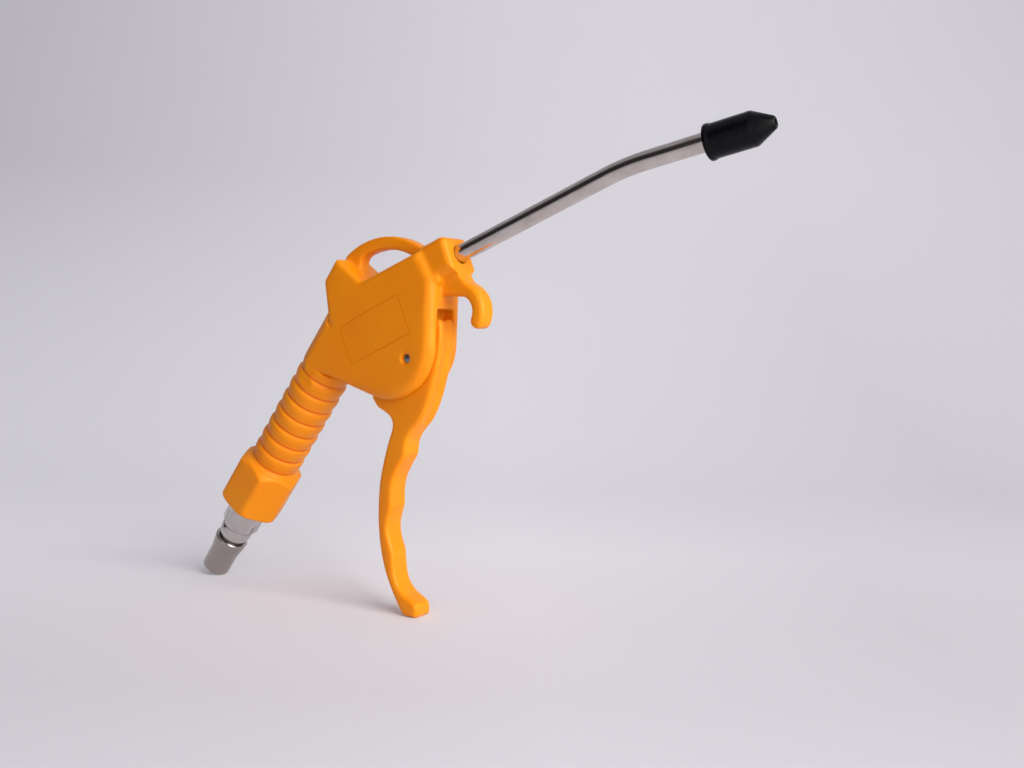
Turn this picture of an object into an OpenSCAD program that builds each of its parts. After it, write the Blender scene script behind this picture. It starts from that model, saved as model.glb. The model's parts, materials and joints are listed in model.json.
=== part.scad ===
// Hand-held air duster: a moulded body with a ribbed grip, a finger lever on a cross pin,
// a spring-loaded poppet valve behind the lever and a bent steel nozzle with a rubber tip.
// It stands on the plug's end and the lever's tip. X runs towards the nozzle, Y across the
// body and Z up; the origin lies on the floor, under the middle of the object's length.

/* [Stance] */
// Angle of the grip above the floor
grip_tilt = 54.3; // [50:0.1:58]
// Angle of the nozzle above the floor
nozzle_tilt = 22.6; // [18:0.2:27]
// Angle by which the nozzle tube bends towards the floor
tube_bend = 10.3; // [5:0.1:20]
// Distance along the grip from the plug's end to the nozzle's axis
elbow_at = 140.9; // [135:0.1:150]

/* [Grip] */
// Diameter over the grip's ribs
grip_d = 21; // [19:0.5:24]
// Diameter of the smooth neck between the ribs and the head
neck_d = 19.4; // [18:0.1:20]
// Number of grooves between the ribs
groove_count = 7; // [4:1:9]
// Distance from one groove to the next
groove_pitch = 6.55; // [5:0.05:7]
// Depth of a groove
groove_deep = 0.9; // [0.4:0.1:1.5]
// Width of a groove at its floor
groove_floor = 0.7; // [0.4:0.1:1.5]
// Width of a groove at its mouth
groove_mouth = 2.4; // [1.5:0.1:3.5]
// Diameter of the air passage through the grip
passage_d = 7; // [5:0.5:8]

/* [Hexagonal end] */
// Width of the hexagonal end across its flats
hex_flats = 24.6; // [24:0.2:30]
// Length of the hexagonal end
hex_len = 22.5; // [18:0.5:26]
// Diameter that the hexagon's corners are turned down to
hex_corner_d = 27.6; // [27:0.1:30]
// Bevel at the ends of the hexagonal end
hex_bevel = 1.1; // [0.5:0.1:2]

/* [Coupler plug] */
// Diameter of the plug's nose
nose_d = 11.9; // [11:0.1:13]
// Bevel on the end of the nose
nose_bevel = 0.5; // [0.2:0.1:1]
// Length of the straight nose
nose_len = 9; // [7:0.5:10]
// Distance from the end to the locking groove
nose_lip_at = 13.8; // [12:0.1:15]
// Diameter of the nose's lip at the locking groove
nose_lip_d = 12.9; // [12:0.1:14]
// Diameter at the bottom of the locking groove
lock_groove_d = 10.6; // [9.5:0.1:11.5]
// Width of the locking groove
lock_groove_w = 1.5; // [1:0.1:2.5]
// Diameter of the shoulder below the plug's hexagon
shoulder_d = 13.4; // [12.5:0.1:14]
// Distance from the end to the shoulder
shoulder_at = 20.5; // [18:0.5:22]
// Distance from the end to the plug's hexagon
plug_hex_at = 23.6; // [22:0.2:26]
// Width of the plug's hexagon across its flats
plug_hex_flats = 14; // [13:0.5:17]
// Length of the plug's hexagon
plug_hex_len = 12.9; // [11:0.1:13]
// Bore of the plug
plug_bore_d = 7.2; // [5:0.1:7.6]
// Outside diameter of the plug's pipe thread
inlet_thread_d = 13.2; // [12.8:0.1:13.6]
// Length of thread held by the insert
inlet_thread_len = 11; // [8:0.5:12]

/* [Inlet insert] */
// Outside diameter of the brass inlet insert
insert_d = 18.6; // [17:0.1:20]
// Length of the brass inlet insert
insert_len = 13.6; // [12.5:0.1:15]
// Depth of the anchoring grooves round the insert
insert_groove_deep = 0.6; // [0.3:0.1:1]
// Width of the anchoring grooves round the insert
insert_groove_w = 1.6; // [1:0.1:2.5]
// Distance from the plug's end to the insert's face
insert_at = 37.5; // [37:0.1:39]

/* [Head] */
// Width of the head across both cheeks
head_w = 19.6; // [19:0.2:24]
// Rounding of the head's front and cheek edges
head_round = 4; // [2:0.1:4.4]
// Rounding of the head's top and chin edges
head_soft = 1.2; // [0.6:0.1:2]
// Height of the head's top edge above the nozzle's axis
head_top = 6.1; // [5:0.1:7]
// Distance along the nozzle's axis from the elbow to the head's front
head_front = 41.6; // [40:0.2:44]
// Radius of the cheeks round the lever
cheek_r = 22; // [21:0.5:25]
// Distance from the grip's axis to the rear of the wing
wing_rear = 15.3; // [14:0.1:17]
// Length of the plain frame on the cheek
panel_len = 31.4; // [24:0.2:34]
// Height of that frame
panel_high = 16; // [10:0.2:18]
// Height of the wing's rear face
wing_high = 10.7; // [8:0.1:12]
// Rounding of the wing's edges
wing_round = 1.6; // [0.8:0.1:2.5]

/* [Hanging loop] */
// Outer radius of the hanging loop
loop_r = 32.8; // [30:0.2:35]
// Thickness of the hanging loop's arch
loop_band = 5; // [4:0.1:6]
// Width of the hanging loop across the body
loop_w = 6; // [5:0.1:8]
// Rounding of the hanging loop's edges
loop_round = 1; // [0.5:0.1:1.5]

/* [Nozzle block] */
// Width and height of the block that holds the nozzle
block_w = 15.6; // [14:0.2:17]
// Rounding of the block's edges
block_round = 2; // [1:0.1:3]
// Distance that the block stands out from the head's front
block_out = 9.3; // [8:0.1:11]

/* [Hook] */
// Inner radius of the hook
hook_r = 5.6; // [5:0.1:7]
// Thickness of the hook
hook_thick = 5.6; // [5:0.1:7]
// Width of the hook across the body
hook_w = 8; // [7:0.1:10]
// Rounding of the hook's edges
hook_round = 2; // [1:0.1:2.4]
// Angle at which the hook's tip ends, below level
hook_end = 24; // [0:1:40]

/* [Lever] */
// Width of the lever
lever_w = 9.8; // [9:0.1:12]
// Rounding of the lever's edges
lever_round = 1.4; // [0.8:0.1:1.8]
// Gap between the lever and each cheek
lever_gap = 0.3; // [0.2:0.05:0.5]
// Angle that the lever swings through
lever_swing = 11; // [8:0.5:11]
// Depth of the shallow groove down the lever's upper face
lever_groove_deep = 0.8; // [0.4:0.1:1.2]
// Width of the shallow groove
lever_groove_w = 3.2; // [2.6:0.1:5]

/* [Pivot pin] */
// Diameter of the pivot pin
pin_d = 3.2; // [3:0.1:3.6]
// Radial clearance of the lever on the pin
pin_clear = 0.05; // [0.02:0.01:0.1]
// Diameter of the recess round each end of the pin
pin_recess_d = 4.1; // [3.8:0.1:4.6]
// Depth of the recess round each end of the pin
pin_recess = 0.7; // [0.4:0.1:1]

/* [Valve] */
// Angle of the valve above the floor, leaning over the grip
valve_tilt = 125; // [123:0.5:127]
// Distance from the pivot to the valve's axis
valve_arm = 15.5; // [15:0.1:16]
// Distance from the lever's cam face to the gland nut at rest
stem_out = 6.2; // [6.2:0.1:7]
// Outside diameter of the gland nut's thread
gland_d = 11.4; // [11:0.1:12]
// Length of the gland nut
gland_len = 6; // [5:0.1:7]
// Outside diameter of the valve seat bush
bush_d = 10.4; // [10:0.1:10.8]
// Length of the valve seat bush, up to its lip
bush_len = 12.8; // [12:0.1:14]
// Diameter of the valve chamber
chamber_d = 9.6; // [9.2:0.1:10]
// Length of the valve chamber above the seat
chamber_len = 12; // [11.5:0.1:12.5]
// Diameter of the valve stem
stem_d = 4; // [3.6:0.1:4.4]
// Radial clearance of the stem in its guides
stem_clear = 0.05; // [0.02:0.01:0.1]
// Diameter of the stem's neck
stem_neck_d = 2.8; // [2.4:0.1:3]
// Diameter of the hole through the valve seat
seat_d = 6.2; // [5.8:0.1:6.4]
// Thickness of the rubber seal on the stem
seal_thick = 1.5; // [1:0.1:2]
// Diameter of the rubber seal on the stem
seal_d = 8.4; // [8:0.1:8.6]
// Thickness of the retainer that holds the seal
retainer_thick = 2.3; // [2:0.1:3]
// Section of the O-rings round the seat bush
bush_ring_d = 1.5; // [1.2:0.1:1.6]
// Section of the O-ring round the stem
stem_ring_d = 1.7; // [1.4:0.1:1.9]
// Wire diameter of the valve spring
spring_wire = 0.7; // [0.5:0.1:0.8]
// Mean diameter of the valve spring
spring_d = 6.2; // [5.8:0.1:6.6]
// Number of turns in the valve spring
spring_turns = 4; // [3:0.5:4.5]
// Diameter of the outlet passage from the valve to the nozzle
outlet_d = 4; // [3:0.1:4.4]

/* [Nozzle] */
// Outside diameter of the nozzle tube
tube_d = 5.3; // [5:0.1:6]
// Bore of the nozzle tube
tube_bore = 3.8; // [3:0.1:4.2]
// Distance along the nozzle's axis from the elbow to the bend
bend_at = 123.2; // [110:0.2:135]
// Radius of the bend on the tube's axis
bend_r = 90; // [60:1:120]
// Outside diameter of the brass nozzle insert
nozzle_insert_d = 9; // [8.4:0.1:9.6]
// Length of the brass nozzle insert
nozzle_insert_len = 8; // [7:0.1:8.6]
// Section of the O-ring behind the nozzle insert
nozzle_ring_d = 1.3; // [1:0.1:1.5]

/* [Rubber tip] */
// Diameter of the rubber tip
tip_d = 11.4; // [10:0.1:13]
// Diameter of the rim round the rear of the tip
tip_rim_d = 12.1; // [11:0.1:14]
// Width of that rim
tip_rim_w = 1.4; // [1:0.1:2]
// Length of the tip's straight part
tip_len = 15.3; // [13:0.1:18]
// Length of the tip's cone
cone_len = 7; // [5:0.1:9]
// Diameter of the cone's end
cone_end_d = 3.9; // [3.4:0.1:5]
// Diameter of the outlet through the cone
jet_d = 2; // [1.5:0.1:2.5]
// Distance from the bend to the rear of the tip
tip_at = 29.5; // [24:0.1:36]

/* [Hidden] */

$fn = 64;
cut = 1;
plastic = [0.95, 0.58, 0.06];
steel = [0.72, 0.70, 0.68];
nickel = [0.62, 0.61, 0.60];
brass = [0.80, 0.66, 0.32];
rubber = [0.09, 0.09, 0.10];

// Directions, and places along them, in the XZ plane
function dir(a) = [cos(a), 0, sin(a)];
function place(origin, a, along, up = 0) = origin + along * dir(a) + up * dir(a + 90);
function arc(centre, r, from, to, steps) =
    [for (i = [0:steps]) let (a = from + (to - from) * i / steps) centre + r * [cos(a), sin(a)]];
// Curve through a list of points, each stretch cut into equal steps
function curve_point(a, b, c, d, t) = 0.5 * (2 * b + (c - a) * t + (2 * a - 5 * b + 4 * c - d) * t * t
                                             + (3 * b - a - 3 * c + d) * t * t * t);
function curve(pts, steps) = let (last = len(pts) - 1)
    [for (i = [0:last - 1], k = [0:steps - 1])
        curve_point(pts[max(i - 1, 0)], pts[i], pts[i + 1], pts[min(i + 2, last)], k / steps), pts[last]];

// Where the object stands and where its axes meet
nose_face_r = nose_d / 2 - nose_bevel;
tip_tilt = nozzle_tilt - tube_bend;
tip_end = tip_at + tip_len + cone_len;
span_x = elbow_at * cos(grip_tilt) + bend_at * cos(nozzle_tilt) + tip_end * cos(tip_tilt);
rear_x = nose_d / 2 * sin(grip_tilt) - nose_bevel * cos(grip_tilt);
front_x = cone_end_d / 2 * sin(tip_tilt);
nose_end = [(rear_x - front_x - span_x) / 2, 0, nose_face_r * cos(grip_tilt)];
elbow = place(nose_end, grip_tilt, elbow_at);
bend_point = place(elbow, nozzle_tilt, bend_at);

// The pivot hangs below the nozzle's axis; the cheeks are round about a centre near it
pivot_along = 20.1;
pivot_below = 28.7;
pivot = place(elbow, nozzle_tilt, pivot_along, -pivot_below);
cheek_behind = 7.6;
cheek_above = 9.4;
cheek_centre = [pivot_along - cheek_behind, cheek_above - pivot_below];

// The valve's axis runs at right angles to the cam face, which points at the pivot
cam_point = place(pivot, valve_tilt + 90, valve_arm);
gland_end = stem_out + gland_len;
bush_end = gland_end + bush_len;
seat_lip = 0.5;
seat_at = bush_end + seat_lip;
chamber_end = bush_end + chamber_len;
seal_top = seat_at + seal_thick;
spring_from = seal_top + retainer_thick;
stem_gap = 0.25;

// Frame with its X axis at an angle above the floor
module in_frame(origin, a) translate(origin) rotate([0, -a, 0]) children();
// Outline in the frame's X and Z, made solid across the body
module slab(w) rotate([90, 0, 0]) linear_extrude(height = w, center = true) children();
// Round bar on the frame's X axis
module bar(r, from, to) translate([from, 0, 0]) rotate([0, 90, 0]) cylinder(r = r, h = to - from);
// Turned shape on the frame's X axis, from points of distance along it and radius
module turned(pts) rotate([0, 90, 0]) rotate_extrude() polygon([for (p = pts) [p[1], p[0]]]);
// Ring of round section on the frame's X axis
module ring(r, section, at_x) translate([at_x, 0, 0]) rotate([0, 90, 0]) rotate_extrude()
    translate([r, 0]) circle(d = section);
// Rectangle with round corners, without leaving exact arcs
module round_rect(w, h, r) union() {
    square([w - 2 * r, h], center = true);
    square([w, h - 2 * r], center = true);
    for (x = [-1, 1], y = [-1, 1]) translate([x * (w / 2 - r), y * (h / 2 - r)]) circle(r = r);
}
// How far an edge of this rounding is drawn in at a depth below the face
function drawn_in(deep, r) = deep < r ? r - sqrt(r * r - (r - deep) * (r - deep)) : 0;
// Convex outline made solid across the body with rounded edges
module rounded_slab(w, r, pts, steps = 4) hull() for (i = [0:steps])
    let (deep = r * (1 - cos(90 * i / steps)))
        slab(w - 2 * deep) offset(delta = -drawn_in(deep, r)) polygon(pts);

// Body

// Places along the grip from the plug's end
hex_at = insert_at;
hex_end_at = hex_at + hex_len;
groove_lead = 6.4;
first_groove_at = hex_end_at + groove_lead;
ribs_end_at = first_groove_at + (groove_count - 1) * groove_pitch + groove_mouth;
neck_in = 2.4;
neck_end_at = elbow_at - neck_in;

module grip() {
    grooves = [for (i = [0:groove_count - 1], p = [[-1, groove_mouth, 0], [-1, groove_floor, 1],
                                                   [1, groove_floor, 1], [1, groove_mouth, 0]])
        [first_groove_at + i * groove_pitch + p[0] * p[1] / 2, grip_d / 2 - p[2] * groove_deep]];
    turned(concat([[hex_at + hex_bevel, 0], [hex_at + hex_bevel, grip_d / 2]], grooves,
                  [[ribs_end_at, grip_d / 2], [ribs_end_at + groove_deep, neck_d / 2],
                   [neck_end_at, neck_d / 2], [neck_end_at, 0]]));
}

module hex_end() intersection() {
    translate([hex_at, 0, 0]) rotate([0, 90, 0]) cylinder(r = hex_flats / sqrt(3), h = hex_len, $fn = 6);
    turned([[hex_at, 0], [hex_at, hex_corner_d / 2 - hex_bevel], [hex_at + hex_bevel, hex_corner_d / 2],
            [hex_end_at - hex_bevel, hex_corner_d / 2], [hex_end_at, hex_corner_d / 2 - hex_bevel],
            [hex_end_at, 0]]);
}

// The head's side, along the nozzle's axis and above it, at a depth below its flat face. The
// front and the cheeks are rounded widely, the top and the chin less
front_below = 5.5;
front_lean = 0.9;
crown_at = 5.8;
chin_up = 30.7;
cheek_from = -132;
cheek_to = -23;
lean = grip_tilt - nozzle_tilt;
function beside_grip(t, q) = [t * cos(lean) - q * sin(lean), t * sin(lean) + q * cos(lean)];
function head_pts(wide, soft) = concat(
    [[head_front - front_lean - wide, head_top - soft], [crown_at, head_top - soft],
     beside_grip(-head_round, head_round - wide), beside_grip(soft - chin_up, head_round - wide)],
    arc(cheek_centre, cheek_r - wide, cheek_from, cheek_to, 18),
    [[head_front + front_lean - wide, -front_below]]);
module head_plate() hull() for (i = [0:6]) let (deep = head_round * (1 - cos(90 * i / 6)))
    slab(head_w - 2 * deep) polygon(head_pts(drawn_in(deep, head_round), drawn_in(deep, head_soft)));

// The wing behind the notch, along the grip and behind its axis
wing_over = 12.1;
wing_top_at = elbow_at + wing_over;
wing_root = 10;
wing_under = 11.4;
wing_pts = [[wing_top_at, wing_rear], [wing_top_at - wing_high, wing_rear],
            [wing_top_at - wing_high - wing_under, head_round],
            [wing_top_at - wing_high - wing_under, -wing_root], [wing_top_at, -wing_root]];

// The hanging loop: a plate over the notch with a D-shaped opening
loop_along = 11.1;
loop_below = 10.5;
loop_inner_r = loop_r - loop_band;
loop_end_r = 4.2;
loop_bevel = 0.6;
leg_deep = 4;
sheet = 0.02;
loop_end_a = 89;
loop_from = 15;
loop_to = 107;
loop_centre = [loop_along, -loop_below];
loop_end = loop_centre + (loop_inner_r - loop_end_r) * [cos(loop_end_a), sin(loop_end_a)];
loop_pts = concat(arc(loop_centre, loop_r, loop_from, loop_to, 20),
                  [beside_grip(wing_top_at - elbow_at - leg_deep, wing_rear - wing_round), [0, 0]]);
function opening_pts(out) = concat(
    arc(loop_centre, loop_inner_r + out, loop_from, loop_end_a, 10),
    arc(loop_end, loop_end_r + out, loop_end_a, lean + 180, 10),
    [loop_end + beside_grip(-loop_end_r - out, -wing_root)]);
module hanging_loop() difference() {
    rounded_slab(loop_w, loop_round, loop_pts);
    slab(2 * loop_w) polygon(opening_pts(0));
    for (side = [-1, 1]) hull() for (out = [0, cut]) translate([0, side * (loop_w / 2 - loop_bevel + out), 0])
        slab(sheet) polygon(opening_pts(out));
}

// Square block on the nozzle's axis, with rounded edges and front
block_at = head_front - head_round / 2;
module nozzle_block() hull() for (i = [0:3]) let (deep = block_round * (1 - cos(90 * i / 3)))
    translate([block_at, 0, 0]) rotate([0, 90, 0])
        linear_extrude(height = head_front + block_out - deep - block_at)
            offset(r = block_round - drawn_in(deep, block_round), $fn = 24)
                square(block_w - 2 * block_round, center = true);

// Hook for a rim or a hose, and the web that carries it. The hook's round end is a trace
// thinner than the hook itself
hook_along = 44.8;
hook_below = 19.7;
hook_centre = place(elbow, nozzle_tilt, hook_along, -hook_below);
hook_mid_r = hook_r + hook_thick / 2;
hook_from = 98;
hook_crown = 75;
hook_trace = 0.01;
module hook() translate(hook_centre) {
    rotate([90, 0, 0]) rotate_extrude(angle = hook_from + hook_end, start = -hook_end)
        translate([hook_mid_r, 0]) round_rect(hook_thick, hook_w, hook_round);
    translate(hook_mid_r * dir(-hook_end)) rotate([90, 0, 0]) rotate_extrude() intersection() {
        round_rect(hook_thick - 2 * hook_trace, hook_w - 2 * hook_trace, hook_round);
        translate([0, -hook_w]) square([hook_thick, 2 * hook_w]);
    }
}
web_foot = 80;
web_deep = 12;
web_round = 1.5;
module web() {
    block_low = block_round - block_w / 2;
    foot = hook_centre + hook_r * dir(web_foot);
    crown = hook_centre + (hook_mid_r + hook_thick / 2 - hook_round) * dir(hook_crown);
    rounded_slab(hook_w, web_round, [for (p = [
        place(elbow, nozzle_tilt, head_front - block_round, block_low), foot - [web_deep, 0, 0],
        foot, crown, place(elbow, nozzle_tilt, head_front + block_out / 2, block_low)]) [p[0], p[2]]]);
}

// Lever slot: open at the front and below, bounded behind by the wall that holds the valve
cam_reach = 26;
boss_r = 5.4;
slot_top = 18.4;
slot_rear = 6.4;
slot_front = 17;
slot_clear = 1;
arm_rear = 4.8;
module lever_slot() translate(pivot) slab(lever_w + 2 * lever_gap) {
    intersection() {
        circle(r = cam_reach + lever_round + slot_clear);
        rotate(valve_tilt - 90) translate([-2 * cam_reach, -2 * cam_reach])
            square([2 * cam_reach, 2 * cam_reach + stem_out]);
    }
    circle(r = stem_out);
    polygon([[0, 0], [arm_rear - slot_clear, boss_r], [slot_rear, slot_top],
             [slot_front, slot_top], [slot_front, -2 * cheek_r], [0, -2 * cheek_r]]);
}

// Bore steps for the valve, and the passages that lead to it and away
guide_len = 3;
port_len = 3;
port_at = gland_end + bush_len / 2;
outlet_turn = 30.4;
tube_from = 38.6;
function cross_xz(a, b) = a[0] * b[2] - a[2] * b[0];
valve_on_grip = cross_xz(cam_point - nose_end, dir(valve_tilt)) / cross_xz(dir(grip_tilt), dir(valve_tilt));
port_point = place(cam_point, valve_tilt, port_at);
turn_point = place(elbow, nozzle_tilt, outlet_turn);
outlet_line = turn_point - port_point;
module valve_bores() {
    in_frame(cam_point, valve_tilt) {
        bar(gland_d / 2, stem_out - cut, gland_end);
        bar(bush_d / 2, gland_end - cut, bush_end);
        bar(chamber_d / 2, bush_end - cut, chamber_end);
    }
    in_frame(nose_end, grip_tilt) bar(passage_d / 2, insert_at + insert_len - cut, valve_on_grip);
    in_frame(port_point, atan2(outlet_line[2], outlet_line[0]))
        bar(outlet_d / 2, bush_d / 2 - cut, norm(outlet_line));
    in_frame(elbow, nozzle_tilt) bar(outlet_d / 2, outlet_turn - outlet_d / 2, tube_from + cut);
}

// Pocket for the nozzle tube, its insert and its O-ring
block_face = head_front + block_out;
lip_len = 1.6;
mouth_gap = 0.35;
nozzle_insert_end = block_face - lip_len;
nozzle_insert_at = nozzle_insert_end - nozzle_insert_len;
ring_gap = 0.03;
nozzle_ring_len = nozzle_ring_d + 2 * ring_gap;
module nozzle_pocket() in_frame(elbow, nozzle_tilt) {
    bar(tube_d / 2, tube_from, nozzle_insert_at);
    bar(tube_d / 2 + nozzle_ring_len, nozzle_insert_at - nozzle_ring_len, nozzle_insert_at);
    bar(nozzle_insert_d / 2, nozzle_insert_at, nozzle_insert_end);
    bar(tube_d / 2 + mouth_gap, nozzle_insert_at, block_face + cut);
}

module pin_holes() translate(pivot) rotate([90, 0, 0]) {
    cylinder(r = pin_d / 2, h = head_w + cut, center = true);
    for (side = [-1, 1]) translate([0, 0, side * head_w / 2])
        cylinder(r = pin_recess_d / 2, h = 2 * pin_recess, center = true);
}

// Shallow groove that frames a bare rectangle on the cheek
panel_at = [-15.2, 10.2];
panel_turn = 24.5;
panel_line = 0.6;
panel_deep = 0.25;
module panel_frame() translate(pivot + [panel_at[0], -head_w / 2, panel_at[1]])
    rotate([0, -panel_turn, 0]) slab(2 * panel_deep) difference() {
        square([panel_len, panel_high], center = true);
        square([panel_len - 2 * panel_line, panel_high - 2 * panel_line], center = true);
    }

module body() color(plastic) difference() {
    union() {
        in_frame(nose_end, grip_tilt) {
            grip();
            hex_end();
            rounded_slab(head_w, wing_round, wing_pts);
        }
        in_frame(elbow, nozzle_tilt) {
            head_plate();
            hanging_loop();
            nozzle_block();
        }
        hook();
        web();
    }
    in_frame(nose_end, grip_tilt) insert_outside();
    lever_slot();
    valve_bores();
    nozzle_pocket();
    pin_holes();
    panel_frame();
}

// Inlet

module insert_outside() {
    insert_end = insert_at + insert_len;
    anchors = [for (share = [0.3, 0.65], p = [[-1, 0], [-1, 1], [1, 1], [1, 0]])
        [insert_at + share * insert_len + p[0] * insert_groove_w / 2,
         insert_d / 2 - p[1] * insert_groove_deep]];
    turned(concat([[insert_at - cut, 0], [insert_at - cut, insert_d / 2]], anchors,
                  [[insert_end, insert_d / 2], [insert_end, 0]]));
}

module inlet_insert() color(brass) in_frame(nose_end, grip_tilt) difference() {
    insert_outside();
    bar(insert_d, insert_at - 2 * cut, insert_at);
    bar(inlet_thread_d / 2, insert_at - cut, insert_at + inlet_thread_len + cut);
    bar(passage_d / 2, insert_at, insert_at + insert_len + cut);
}

module coupler_plug() color(nickel) in_frame(nose_end, grip_tilt) {
    groove_end = nose_lip_at + lock_groove_w;
    hex_face = plug_hex_at + plug_hex_len;
    thread_end = insert_at + inlet_thread_len;
    hex_turned = plug_hex_flats / cos(30) / 2;
    hex_bevel_len = hex_turned - plug_hex_flats / 2;
    difference() {
        union() {
            turned([[0, 0], [0, nose_face_r], [nose_bevel, nose_d / 2], [nose_len, nose_d / 2],
                    [nose_lip_at - nose_bevel, nose_lip_d / 2], [nose_lip_at, nose_lip_d / 2 - nose_bevel],
                    [nose_lip_at, lock_groove_d / 2], [groove_end, lock_groove_d / 2],
                    [groove_end + nose_bevel, nose_d / 2 - nose_bevel], [shoulder_at, shoulder_d / 2],
                    [plug_hex_at + cut, shoulder_d / 2], [plug_hex_at + cut, 0]]);
            intersection() {
                translate([plug_hex_at, 0, 0]) rotate([0, 90, 0])
                    cylinder(r = hex_turned, h = plug_hex_len, $fn = 6);
                turned([[plug_hex_at, 0], [plug_hex_at, plug_hex_flats / 2],
                        [plug_hex_at + hex_bevel_len, hex_turned], [hex_face - nose_bevel, hex_turned],
                        [hex_face, hex_turned - nose_bevel], [hex_face, 0]]);
            }
            turned([[hex_face - cut, 0], [hex_face - cut, inlet_thread_d / 2],
                    [thread_end - nose_bevel, inlet_thread_d / 2],
                    [thread_end, inlet_thread_d / 2 - nose_bevel], [thread_end, 0]]);
        }
        bar(plug_bore_d / 2, -cut, thread_end + cut);
    }
}

// Lever and its pin

// The lever's side view, as shares of its length below the pivot: the outer edge from the
// top down with its three finger waves, the tip, and the inner edge up to the cam
lever_len = pivot[2];
lever_outer_shares = [[0.127, 0.118], [0.126, 0.058], [0.102, -0.064], [0.071, -0.168], [0.036, -0.237],
    [-0.006, -0.284], [-0.030, -0.327], [-0.034, -0.373], [-0.062, -0.420], [-0.089, -0.472],
    [-0.098, -0.531], [-0.096, -0.575], [-0.107, -0.614], [-0.117, -0.659], [-0.108, -0.711],
    [-0.089, -0.758], [-0.085, -0.800], [-0.074, -0.862], [-0.041, -0.906], [0.002, -0.930], [0.030, -0.947]];
lever_inner_shares = [[-0.057, -0.971], [-0.094, -0.912], [-0.130, -0.836], [-0.154, -0.753],
    [-0.167, -0.660], [-0.169, -0.580], [-0.163, -0.490], [-0.146, -0.408], [-0.121, -0.320],
    [-0.106, -0.281], [-0.105, -0.250], [-0.125, -0.224], [-0.180, -0.198]];
lever_tip_shares = [[0.035, -1], [-0.037, -1]];
lever_top_shares = [[0.085, 0.140], [0.100, 0.157], [0.118, 0.148]];
module lever_outline() {
    cam_line = valve_tilt - 90;
    cam_end = place([0, 0, 0], cam_line, -cam_reach);
    cam_root = place([0, 0, 0], cam_line, -boss_r);
    arm_foot = [arm_rear, boss_r];
    polygon(concat(
        [arm_foot], lever_len * lever_top_shares, curve(lever_len * lever_outer_shares, 3),
        lever_len * lever_tip_shares, curve(lever_len * lever_inner_shares, 2),
        [[cam_end[0], cam_end[2]], [cam_root[0], cam_root[2]]]));
    circle(r = boss_r);
}
lever_groove_end_share = 0.25;
module lever() color(plastic) translate(pivot) difference() {
    minkowski() {
        slab(lever_w - 2 * lever_round) offset(delta = -lever_round) lever_outline();
        sphere(r = lever_round, $fn = 12);
    }
    slab(lever_groove_w) difference() {
        translate([0, -lever_groove_end_share * lever_len]) square([cheek_r, cheek_r + slot_top]);
        offset(delta = -lever_groove_deep) lever_outline();
    }
    rotate([90, 0, 0]) cylinder(r = pin_d / 2 + pin_clear, h = head_w, center = true);
}

module pivot_pin() color(steel) translate(pivot) rotate([90, 0, 0])
    cylinder(r = pin_d / 2, h = head_w - 2 * pin_recess, center = true);

// Valve

gland_slot_deep = 1;
gland_slot_w = 1.2;
module gland_nut() color(brass) in_frame(cam_point, valve_tilt) difference() {
    bar(gland_d / 2, stem_out, gland_end);
    bar(stem_d / 2 + stem_clear, stem_out - cut, gland_end + cut);
    bar(stem_d / 2 + stem_ring_d + 2 * ring_gap, gland_end - stem_ring_d - 2 * ring_gap, gland_end + cut);
    translate([stem_out, 0, 0]) cube([2 * gland_slot_deep, gland_d + cut, gland_slot_w], center = true);
}

module stem_o_ring() color(rubber) in_frame(cam_point, valve_tilt)
    ring((stem_d + stem_ring_d) / 2 + ring_gap, stem_ring_d, gland_end - stem_ring_d / 2 - ring_gap);

bush_ring_shares = [0.15, 0.85];
module valve_seat_bush() color(brass) in_frame(cam_point, valve_tilt) difference() {
    union() {
        bar(bush_d / 2, gland_end, bush_end);
        bar(seat_d / 2 + seat_lip, bush_end - cut, bush_end + seat_lip / 2);
    }
    bar(stem_d / 2 + stem_clear, gland_end - cut, bush_end + cut);
    bar(seat_d / 2, gland_end + guide_len, bush_end + cut);
    for (share = bush_ring_shares) translate([gland_end + share * bush_len, 0, 0]) ring_groove();
    difference() {
        bar(bush_d, port_at - port_len / 2, port_at + port_len / 2);
        bar(seat_d / 2 + seat_lip, port_at - port_len, port_at + port_len);
    }
    translate([port_at, 0, 0]) for (a = [0, 90]) rotate([a, 0, 0])
        cylinder(r = port_len / 2 - seat_lip, h = bush_d + cut, center = true);
}
module ring_groove() difference() {
    bar(bush_d, -bush_ring_d / 2 - ring_gap, bush_ring_d / 2 + ring_gap);
    bar(bush_d / 2 - bush_ring_d - 2 * ring_gap, -bush_ring_d, bush_ring_d);
}

module bush_o_rings() color(rubber) in_frame(cam_point, valve_tilt) for (share = bush_ring_shares)
    ring((bush_d - bush_ring_d) / 2 - ring_gap, bush_ring_d, gland_end + share * bush_len);

collar_len = 2;
collar_gap = 1;
tail_len = 2;
module valve_stem() color(steel) in_frame(cam_point, valve_tilt)
    turned(concat(arc([stem_gap + stem_d / 2, 0], stem_d / 2, 180, 90, 8),
                  [[gland_end + guide_len + seat_lip, stem_d / 2],
                   [gland_end + guide_len + 2 * seat_lip, stem_neck_d / 2],
                   [seat_at - collar_len, stem_neck_d / 2], [seat_at - collar_len, seat_d / 2 - collar_gap],
                   [seat_at, seat_d / 2 - collar_gap], [seat_at, stem_neck_d / 2],
                   [spring_from + tail_len, stem_neck_d / 2], [spring_from + tail_len, 0]]));

module valve_seal() color(rubber) in_frame(cam_point, valve_tilt) difference() {
    bar(seal_d / 2, seat_at, seal_top);
    bar(stem_neck_d / 2, seat_at - cut, seal_top + cut);
}

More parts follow.
